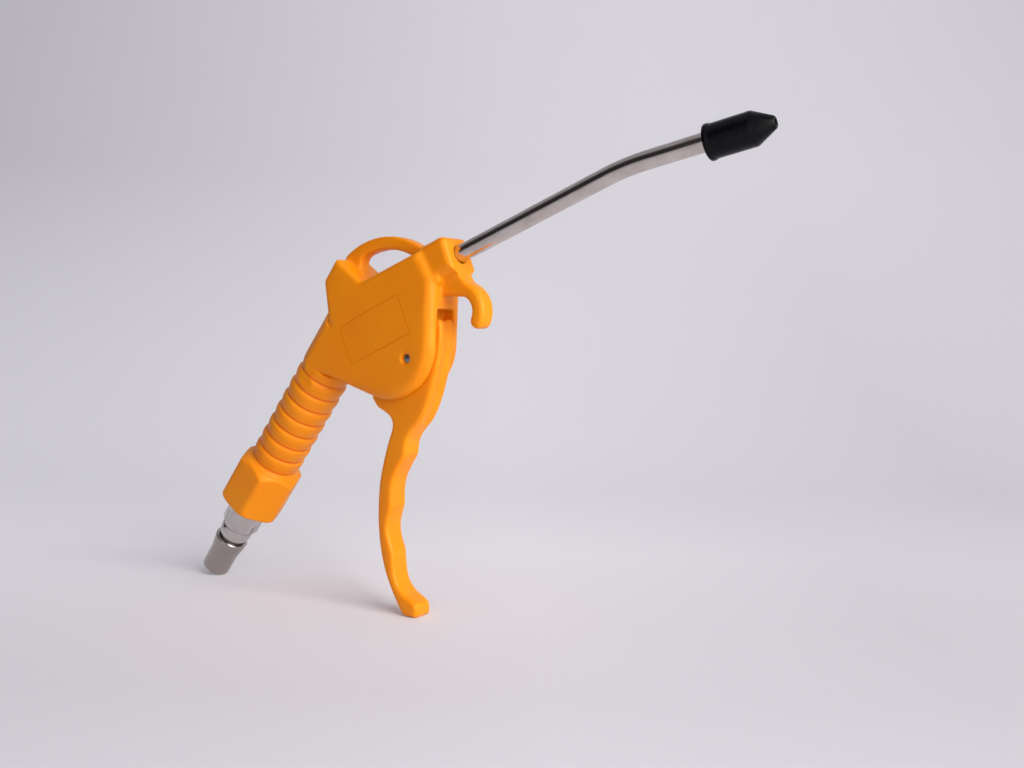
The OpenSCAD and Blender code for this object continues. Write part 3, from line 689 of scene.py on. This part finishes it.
# %% The plain panel on the cheek
CHEEK_Y = -9.8 * MM
PANEL_CENTRE = pivot + Vector((-15.2, 0, 10.2)) * MM
PANEL_TURN = math.radians(24.5)
PANEL_LENGTH = 31.4 * MM
PANEL_HEIGHT = 16 * MM
PANEL_LINE = 0.5 * MM
PANEL_DEEP = 0.25 * MM


def on_cheek(depth):
    """Matrix of the panel's middle, this deep in the cheek."""
    place = Vector((PANEL_CENTRE.x, CHEEK_Y + depth, PANEL_CENTRE.z))
    return Matrix.Translation(place) @ Matrix.Rotation(-PANEL_TURN, 4, "Y")


def add_plate(bm, depth, grow):
    """Adds a plate that is larger than the frame, from the cheek's face down to this depth."""
    size = Matrix.Diagonal((PANEL_LENGTH + grow, depth, PANEL_HEIGHT + grow, 1))
    bmesh.ops.create_cube(bm, size=1, matrix=on_cheek(depth / 2) @ size)


def frame_cutter():
    """A rectangular ring that reaches from outside the cheek down to the frame's depth."""
    bm = bmesh.new()
    size = Matrix.Diagonal((PANEL_LENGTH, PANEL_HEIGHT, 1, 1))
    lying = on_cheek(PANEL_DEEP) @ Matrix.Rotation(math.pi / 2, 4, "X")
    bmesh.ops.create_grid(bm, x_segments=1, y_segments=1, size=0.5, matrix=lying @ size)
    inner = bmesh.ops.inset_region(bm, faces=bm.faces, thickness=PANEL_LINE, use_boundary=True,
                                    use_even_offset=True)
    ring = set(inner["faces"])
    bmesh.ops.delete(bm, geom=[face for face in bm.faces if face not in ring], context="FACES")
    wall = bmesh.ops.extrude_face_region(bm, geom=bm.faces[:])
    raised = [item for item in wall["geom"] if isinstance(item, bmesh.types.BMVert)]
    bmesh.ops.translate(bm, verts=raised, vec=(0, -2 * PANEL_DEEP, 0))
    return bm


print("frame in mm:", round(PANEL_LENGTH / MM, 1), "by", round(PANEL_HEIGHT / MM, 1))

# %% [markdown]
# Round openings are cut together with the frame: the mouth that the tube stands in, a little wider
# than the tube, and the shallow recesses round the pin's ends. The tube lies slightly above the
# packed one, and its mouth is raised with it.

# %% The tube's mouth and the pin's recesses
TUBE_RISE = 0.55 * MM
MOUTH = {"radius": 3.45 * MM, "from": 50 * MM, "to": 52 * MM}
RECESS = {"radius": 2.0 * MM, "from": 8.7 * MM, "to": 10.5 * MM}
ROD_SIDES = 48
risen = Matrix.Translation((-TUBE_RISE, 0, 0))


def rod(matrix, size):
    """A rod along the Z axis of this matrix."""
    bm = bmesh.new()
    middle = Matrix.Translation((0, 0, (size["from"] + size["to"]) / 2))
    bmesh.ops.create_cone(bm, cap_ends=True, segments=ROD_SIDES, radius1=size["radius"],
                          radius2=size["radius"], depth=size["to"] - size["from"],
                          matrix=matrix @ middle)
    return bm


def housing_cutters():
    recesses = [rod(frame_on(pivot, side), RECESS) for side in (Y_AXIS, -Y_AXIS)]
    return joined([frame_cutter(), rod(nozzle_frame @ risen, MOUTH)] + recesses, "cutters")


print("radii of the mouth and the recesses in mm:",
      [round(size["radius"] / MM, 2) for size in (MOUTH, RECESS)])

# %% [markdown]
# Now the housing is put together in the order that a pattern maker would use: the imported shape
# with its plate and web, the skin over all of it, the finer forms, and last the cuts. The squares
# are small, 0.55 mm across. The squares are as small as the limit on triangles allows.

# %% The housing
HOUSING_SQUARE = 0.55 * MM
HOUSING_PASSES = 3


def make_housing():
    bm = packed_shape("body")
    add_plate(bm, 2 * PANEL_DEEP, PANEL_LINE)
    add_to(bm, make_web(), "web")
    skin = skinned(bm, "housing", HOUSING_SQUARE, HOUSING_PASSES)
    refine(skin)
    mesh = cut_with(to_mesh(skin, "housing"), housing_cutters())
    return put(mesh, "body", "housing", nylon, sharp=40)


housing = make_housing()

# %% [markdown]
# The lever is moulded in the same nylon. Its edges are rounder than the housing's, because fingers
# pull on them, so its skin is finer and is smoothed more often. Smoothing draws the lever's tip in
# a little, so the part below the pin is stretched until the tip stands on the floor again.

# %% The lever
LEVER_SQUARE = 0.36 * MM
LEVER_PASSES = 24


def make_lever():
    skin = skinned(packed_shape("lever"), "finger_lever", LEVER_SQUARE, LEVER_PASSES)
    lowest = min(vert.co.z for vert in skin.verts)
    for vert in skin.verts:
        if vert.co.z < pivot.z:
            vert.co.z = pivot.z * (vert.co.z - lowest) / (pivot.z - lowest)
    return put(to_mesh(skin, "finger_lever"), "lever", "finger_lever", nylon)


lever = make_lever()

# %% [markdown]
# The plug, the tip and the pin are turned shapes. Half of such a shape's outline is drawn once,
# its corners are rounded with a small bevel, and a spin sweeps it round the axis. That is how a
# lathe makes it too.

# %% Turned pieces
TURN_STEPS = 96


def turned(outline, origin, axis, rounding=0.15 * MM, closed=False):
    """A bmesh of an outline, given as (distance along the axis, radius) in mm, spun round it."""
    bm = bmesh.new()
    points = [bm.verts.new((radius * MM, 0, along * MM)) for along, radius in outline]
    pairs = list(zip(points, points[1:])) + ([(points[-1], points[0])] if closed else [])
    for pair in pairs:
        bm.edges.new(pair)
    corners = [point for point in points if len(point.link_edges) == 2]
    bmesh.ops.bevel(bm, geom=corners, offset=rounding, offset_type="OFFSET", affect="VERTICES",
                    segments=3, profile=0.5, clamp_overlap=True, material=-1)
    bmesh.ops.spin(bm, geom=bm.verts[:] + bm.edges[:], cent=(0, 0, 0), axis=(0, 0, 1),
                   angle=2 * math.pi, steps=TURN_STEPS, use_merge=True)
    bmesh.ops.transform(bm, matrix=frame_on(origin, axis), verts=bm.verts)
    return bm


# %% [markdown]
# The plug is turned from hexagonal bar. Its nose slides into the coupler, and the groove behind
# the lip locks it there. The hexagon is left for the spanner, and the lathe turns its corners down
# at both ends: the shape is what a six-sided bar and a double cone share. The sizes are in mm.

# %% The coupler plug
PLUG_BORE = 3.6
PLUG_OUTLINE = [
    (0, PLUG_BORE), (0, 5.45), (0.5, 5.95), (9.5, 5.95), (17.2, 7.05), (17.8, 6.6), (17.8, 5.7),
    (19.3, 5.7), (19.4, 6.3), (21.5, 6.8), (24.7, 6.8), (24.7, 6.4), (25.1, 6.4), (25.1, PLUG_BORE),
]
THREAD_OUTLINE = [(35.5, PLUG_BORE), (35.5, 6.6), (48, 6.6), (48.5, 6.1), (48.5, PLUG_BORE)]
HEX_FLATS = 14
HEX_FROM = 25.1
HEX_TO = 36.5
HEX_ROUNDING = 0.2 * MM
CONE_LENGTH = 0.9
CONE_INSIDE = 0.35
CONE_SPARE = 0.1
CONE_ROUNDING = 0.05 * MM


def make_hexagon():
    """The plug's hexagon: six flats, with the corners turned down at both ends."""
    corner, flat = HEX_FLATS / math.cos(math.pi / 6) / 2, HEX_FLATS / 2
    bar = bmesh.new()
    middle = Matrix.Translation((0, 0, (HEX_FROM + HEX_TO) / 2 * MM))
    bmesh.ops.create_cone(bar, cap_ends=True, segments=6, radius1=corner * MM, radius2=corner * MM,
                          depth=(HEX_TO - HEX_FROM) * MM, matrix=grip_frame @ middle)
    bmesh.ops.bevel(bar, geom=bar.edges[:], offset=HEX_ROUNDING, offset_type="OFFSET",
                    affect="EDGES", segments=2, profile=0.5, material=-1)
    first, last, wide = HEX_FROM - CONE_SPARE, HEX_TO + CONE_SPARE, corner + CONE_SPARE
    outline = [(first, 0), (first, flat - CONE_INSIDE), (HEX_FROM + CONE_LENGTH, wide),
               (HEX_TO - CONE_LENGTH, wide), (last, flat - CONE_INSIDE), (last, 0)]
    cone = to_mesh(turned(outline, plug_end, grip_axis, CONE_ROUNDING), "cone")
    shared = bmesh.new()
    shared.from_mesh(cut_with(to_mesh(bar, "bar"), cone, "INTERSECT"))
    return shared


plug = put(joined([turned(PLUG_OUTLINE, plug_end, grip_axis, closed=True), make_hexagon(),
                   turned(THREAD_OUTLINE, plug_end, grip_axis, closed=True)], "plug"),
           "coupler_plug", "plug", nickel)

# %% [markdown]
# The pin is a piece of wire cut to length, with its ends rounded in a tumbler. It is a little
# shorter than the housing is wide, so its ends lie in the recesses.

# %% The pivot pin
PIN_RADIUS = 1.6
PIN_HALF = 8.75
PIN_ROUNDING = 0.3 * MM
PIN_OUTLINE = [(-PIN_HALF, 0), (-PIN_HALF, PIN_RADIUS), (PIN_HALF, PIN_RADIUS), (PIN_HALF, 0)]
pin = put(to_mesh(turned(PIN_OUTLINE, pivot, Y_AXIS, PIN_ROUNDING), "cross_pin"), "pivot_pin",
          "cross_pin", pin_steel)

# %% [markdown]
# The rubber tip is pushed over the tube's end. It has a rolled rim behind, a straight sleeve and a
# cone that seals against a hole. Rubber edges are rounder than metal ones.

# %% The rubber tip
TIP_ROUNDING = 0.45 * MM
TIP_OUTLINE = [
    (29.5, 2.65), (29.5, 6.05), (30.7, 6.05), (31.3, 5.7), (44.8, 5.7), (51.8, 1.95), (51.8, 1.0),
    (43.8, 1.0), (43.8, 2.65),
]
tip = put(to_mesh(turned(TIP_OUTLINE, bend_point, tip_axis, TIP_ROUNDING, closed=True),
                  "nozzle_tip"), "rubber_tip", "nozzle_tip", rubber)

# %% [markdown]
# The tube is bent cold over a former. Rings of points are set along its path, out along the
# outside and back along the bore, and neighbours are bridged. Each point also keeps where it lay
# in the straight tube, shrunk lengthwise, which is what the drawn lines of the steel follow.

# %% The bent tube
TUBE_RADIUS = 3.25 * MM
BORE_RADIUS = 1.9 * MM
BEND_RADIUS = 90 * MM
BEND_STEPS = 16
TUBE_START = -84.6 * MM
TUBE_END = 43.8 * MM
RING_POINTS = 64
LINE_STRETCH = 0.012
tangent = BEND_RADIUS * math.tan(TUBE_BEND / 2)
bend_length = BEND_RADIUS * TUBE_BEND


def tube_place(along):
    """Matrix of the tube's section at this distance from the start of the bend."""
    turned_by = min(max(along / BEND_RADIUS, 0), TUBE_BEND)
    start = Matrix.Translation((0, 0, -tangent))
    centre = Matrix.Translation((BEND_RADIUS, 0, 0))
    swing = centre @ Matrix.Rotation(turned_by, 4, "Y") @ centre.inverted()
    rest = Matrix.Translation((0, 0, along - turned_by * BEND_RADIUS))
    return frame_on(bend_point, nozzle_axis) @ risen @ start @ swing @ rest


def tube_route():
    """Places and radii of the tube's rings, out along the outside and back along the bore."""
    first, last = TUBE_START + tangent, TUBE_END - tangent + bend_length
    bend = [bend_length * step / BEND_STEPS for step in range(1, BEND_STEPS + 1)]
    stations = [first, first / 2, 0] + bend + [last]
    return ([(along, TUBE_RADIUS) for along in stations]
            + [(along, BORE_RADIUS) for along in reversed(stations)])


def make_tube():
    bm = bmesh.new()
    drawn = bm.verts.layers.float_vector.new("drawn")
    rings = []
    for along, radius in tube_route():
        ring = bmesh.ops.create_circle(bm, segments=RING_POINTS, radius=radius)["verts"]
        for point in ring:
            point[drawn] = (point.co.x, point.co.y, along * LINE_STRETCH)
        bmesh.ops.transform(bm, matrix=tube_place(along), verts=ring)
        rings.append([edge for edge in bm.edges if edge.verts[0] in ring and edge.verts[1] in ring])
    for ring, following in zip(rings, rings[1:] + rings[:1]):
        bmesh.ops.bridge_loops(bm, edges=ring + following)
    return to_mesh(bm, "bent_tube")


tube = put(make_tube(), "nozzle_tube", "bent_tube", steel_tube, sharp=50)

# %% [markdown]
# The object stands on a pale sheet that curves up behind it, so no horizon shows. The sheet's
# middle looks brighter than its sides. That is a faint glow which only the camera and reflections
# see, so it puts no more light on the object, and the floor keeps the object's shadow. The right of
# the near floor is painted a little darker, as painted shade. All distances on the sheet are in
# metres.

# %% The backdrop
SHEET_COLOUR = linear(222, 220, 226)
SHEET_PAINTED_SHADE = linear(206, 204, 210)
BLACK = (0, 0, 0, 1)
GLOW = (1, 0.99, 1, 1)
GLOW_LOW = 0.15
GLOW_HIGH = 0.085
AWAY = (-math.sin(CAMERA_AZIMUTH), math.cos(CAMERA_AZIMUTH), 0)
RIGHT = (math.cos(CAMERA_AZIMUTH), math.sin(CAMERA_AZIMUTH), 0)
SHEET_FRONT = -1.6
SHEET_BACK = 1.1
SHEET_HEIGHT = 2.4
SHEET_WIDTH = 6.0
SHEET_CURVE = 0.8
SHEET_BELOW = 0.02 * MM


def sheet_shape():
    """A floor with a wide curve up to a wall, square to the camera."""
    bm = bmesh.new()
    heights = [(SHEET_FRONT, 0), (SHEET_BACK, 0), (SHEET_BACK, SHEET_HEIGHT)]
    points = [bm.verts.new((-SHEET_WIDTH / 2, along, height)) for along, height in heights]
    for pair in zip(points, points[1:]):
        bm.edges.new(pair)
    bmesh.ops.bevel(bm, geom=[points[1]], offset=SHEET_CURVE, affect="VERTICES", segments=32,
                    profile=0.5, material=-1)
    swept = bmesh.ops.extrude_edge_only(bm, edges=bm.edges[:])["geom"]
    far = [item for item in swept if isinstance(item, bmesh.types.BMVert)]
    bmesh.ops.translate(bm, verts=far, vec=(SHEET_WIDTH, 0, 0))
    square_on = Matrix.Rotation(CAMERA_AZIMUTH, 4, "Z")
    lowered = Matrix.Translation((0, 0, -SHEET_BELOW))
    bmesh.ops.transform(bm, matrix=lowered @ square_on, verts=bm.verts)
    mesh = to_mesh(bm, "backdrop")
    mesh.shade_smooth()
    return mesh


def pale_sheet():
    material, shade = finish("pale_sheet", (0.75, 0.74, 0.78))
    camera_ray, mirrored = shade.node("LightPath", out=0), shade.node("LightPath", out=3)
    place = own_place(shade)
    behind = place.vector("DOT_PRODUCT", AWAY, out=1)
    aside = place.vector("DOT_PRODUCT", RIGHT, out=1)
    height = along_axis(shade, place)
    low = height.clamped(0.3, 0.0) * behind.clamped(-0.08, 0.12) * aside.clamped(0.36, 0.02)
    high = height.clamped(0.0, 0.3) * aside.clamped(0.9, 0.2) * aside.clamped(-0.7, 0.0)
    seen = (camera_ray + mirrored) * (low * GLOW_LOW + high * GLOW_HIGH)
    # Painted shade: the right of the near floor is made darker to offset the key lamp's light there.
    painted_shade = aside.clamped(0.04, 0.18) * behind.clamped(0.3, 0.0)
    surface(shade, Base_Color=painted_shade.blend(SHEET_COLOUR, SHEET_PAINTED_SHADE), Roughness=0.85,
            Specular_IOR_Level=0.1, Emission_Color=seen.blend(BLACK, GLOW), Emission_Strength=1.0)
    return material


def make_backdrop():
    mesh = sheet_shape()
    mesh.materials.append(pale_sheet())
    sheet = placed("backdrop", mesh)
    return sheet


backdrop = make_backdrop()
print("the sheet has", len(backdrop.data.polygons), "faces")

# %% [markdown]
# A large soft lamp on the right lights the front faces, and a dimmer one on the left keeps the
# flat cheek from going dark. The sky is a plain pale grey with one dark place at the near left.
# Its reflection is the dark line along the steel tube. The camera itself sees an even sky.

# %% The lamps and the sky
LAMPS = {
    "key": {"toward": (0.9, -0.2, 0.38), "away": 1.2, "size": 0.9, "power": 19,
            "warm": (1, 0.985, 0.96)},
    "low": {"toward": (0.15, -0.95, 0.12), "away": 1.4, "size": 1.0, "power": 1.5,
            "warm": (1, 0.99, 0.97)},
}
LAMPS_AIM = Vector((0, 0, 80)) * MM
SKY = linear(172, 171, 176)
SKY_DARK = linear(46, 43, 44)
SKY_SEEN = linear(206, 204, 210)
DARK_MIDDLE = (-0.635, -0.745, 0.19)
DARK_EDGE = (0.72, 0.92)


def make_lamp(name, toward, away, size, power, warm):
    data = bpy.data.lights.new(name, "AREA")
    data.size, data.energy, data.color = size, power, warm
    lamp = placed(name, data)
    direction = Vector(toward).normalized()
    lamp.location = LAMPS_AIM + direction * away
    lamp.rotation_euler = direction.to_track_quat("Z", "Y").to_euler()
    return lamp


def make_sky():
    world = bpy.data.worlds.new("studio")
    bpy.context.scene.world = world
    world.use_nodes = True
    world.node_tree.nodes.clear()
    shade = Shade(world.node_tree)
    near = shade.node("TexCoord", out=0).vector("DOT_PRODUCT", DARK_MIDDLE, out=1)
    light = near.clamped(*DARK_EDGE).blend(SKY, SKY_DARK)
    colour = shade.node("LightPath", out=0).blend(light, SKY_SEEN)
    shade.node("OutputWorld", Surface=shade.node("Background", Color=colour, Strength=1.0))


lamps = [make_lamp(name, **facts) for name, facts in LAMPS.items()]
make_sky()
print("lamps:", [lamp.name for lamp in lamps])
